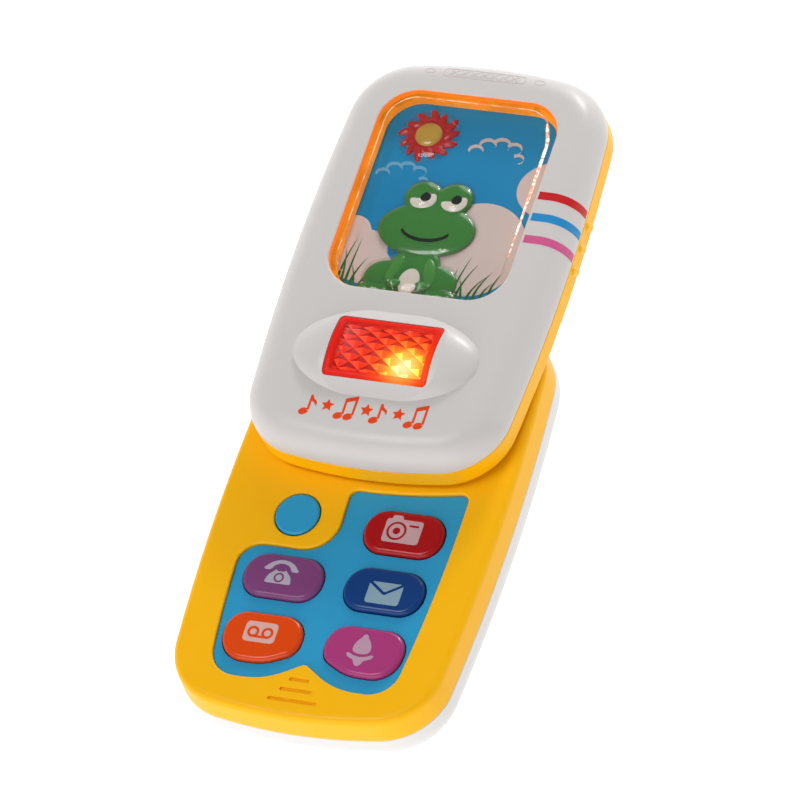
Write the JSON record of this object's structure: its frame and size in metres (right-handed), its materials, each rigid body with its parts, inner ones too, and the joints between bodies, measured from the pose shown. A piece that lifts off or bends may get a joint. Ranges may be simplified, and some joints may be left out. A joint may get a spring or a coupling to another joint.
{
  "type": "toy slide phone",
  "caption": "Toy slide phone: keypad base with sprung coloured keys, and a screen half on a rail with a lit window and a red light.",
  "frame": {"origin": "middle of the flat back of the base, on the surface it lies on", "axes": "+Z out of the keypad, +Y from the keypad towards the screen end, +X to the right of the keypad"},
  "size_m": [0.07, 0.1699, 0.0348],
  "materials": {
    "yellow_plastic": "moulded, satin gloss",
    "white_plastic": "moulded, gloss",
    "sky_plastic": "moulded, satin",
    "red_plastic": "moulded, gloss",
    "navy_plastic": "moulded, gloss",
    "purple_plastic": "moulded, gloss",
    "magenta_plastic": "moulded, gloss",
    "orange_plastic": "moulded, gloss",
    "silicone": "matt",
    "circuit_board": "solder mask",
    "black_plastic": "matt",
    "steel": "zinc plated",
    "speaker_paper": "pressed paper",
    "battery_sleeve": "printed sleeve",
    "clear_plastic": "clear moulded",
    "amber_plastic": "translucent, lit",
    "printed_card": "gloss print",
    "red_clear_plastic": "clear red, faceted behind",
    "led_epoxy": "diffuse epoxy, lit"
  },
  "bodies": {
    "base": {"base_front_cover": "yellow_plastic", "base_back_cover": "white_plastic", "battery_door": "white_plastic", "keypad_panel": "sky_plastic", "keypad_membrane": "silicone", "main_circuit_board": "circuit_board", "sound_chip": "black_plastic", "speaker_frame": "steel", "speaker_magnet": "steel", "speaker_cone": "speaker_paper", "battery_left": "battery_sleeve", "battery_right": "battery_sleeve", "battery_springs": "steel", "battery_spring_plate": "steel", "battery_contact_plate": "steel", "battery_door_screw": "steel", "case_screws": "steel", "rail_screws": "steel", "rail_keeper_left": "steel", "rail_keeper_right": "steel", "slide_runner_left": "black_plastic", "slide_runner_right": "black_plastic", "camera_key_dome": "silicone", "envelope_key_dome": "silicone", "telephone_key_dome": "silicone", "bell_key_dome": "silicone", "recorder_key_dome": "silicone", "round_key_dome": "silicone"},
    "slide": {"slide_top_cover": "white_plastic", "slide_bottom_frame": "yellow_plastic", "window_lens": "clear_plastic", "window_light_ring": "amber_plastic", "picture_card": "printed_card", "red_lens": "red_clear_plastic", "display_circuit_board": "circuit_board", "flash_led": "led_epoxy", "window_led": "led_epoxy", "slide_screws": "steel"},
    "camera_key": {"camera_key": "red_plastic"},
    "envelope_key": {"envelope_key": "navy_plastic"},
    "telephone_key": {"telephone_key": "purple_plastic"},
    "bell_key": {"bell_key": "magenta_plastic"},
    "recorder_key": {"recorder_key": "orange_plastic"},
    "round_key": {"round_key": "sky_plastic"}
  },
  "joints": [
    {"name": "slide_open", "type": "slide", "parent": "base", "child": "slide", "axis": [0, 1, 0], "range_m": [-0.0603, 0]},
    {"name": "camera_key_press", "type": "slide", "parent": "base", "child": "camera_key", "axis": [0, 0, -1], "range_m": [0, 0.0012], "stiffness_N_per_m": 700, "springref_m": -0.0003, "deforming": ["camera_key_dome"]},
    {"name": "envelope_key_press", "type": "slide", "parent": "base", "child": "envelope_key", "axis": [0, 0, -1], "range_m": [0, 0.0012], "stiffness_N_per_m": 700, "springref_m": -0.0003, "deforming": ["envelope_key_dome"]},
    {"name": "telephone_key_press", "type": "slide", "parent": "base", "child": "telephone_key", "axis": [0, 0, -1], "range_m": [0, 0.0012], "stiffness_N_per_m": 700, "springref_m": -0.0003, "deforming": ["telephone_key_dome"]},
    {"name": "bell_key_press", "type": "slide", "parent": "base", "child": "bell_key", "axis": [0, 0, -1], "range_m": [0, 0.0012], "stiffness_N_per_m": 700, "springref_m": -0.0003, "deforming": ["bell_key_dome"]},
    {"name": "recorder_key_press", "type": "slide", "parent": "base", "child": "recorder_key", "axis": [0, 0, -1], "range_m": [0, 0.0012], "stiffness_N_per_m": 700, "springref_m": -0.0003, "deforming": ["recorder_key_dome"]},
    {"name": "round_key_press", "type": "slide", "parent": "base", "child": "round_key", "axis": [0, 0, -1], "range_m": [0, 0.0012], "stiffness_N_per_m": 700, "springref_m": -0.0003, "deforming": ["round_key_dome"]}
  ]
}
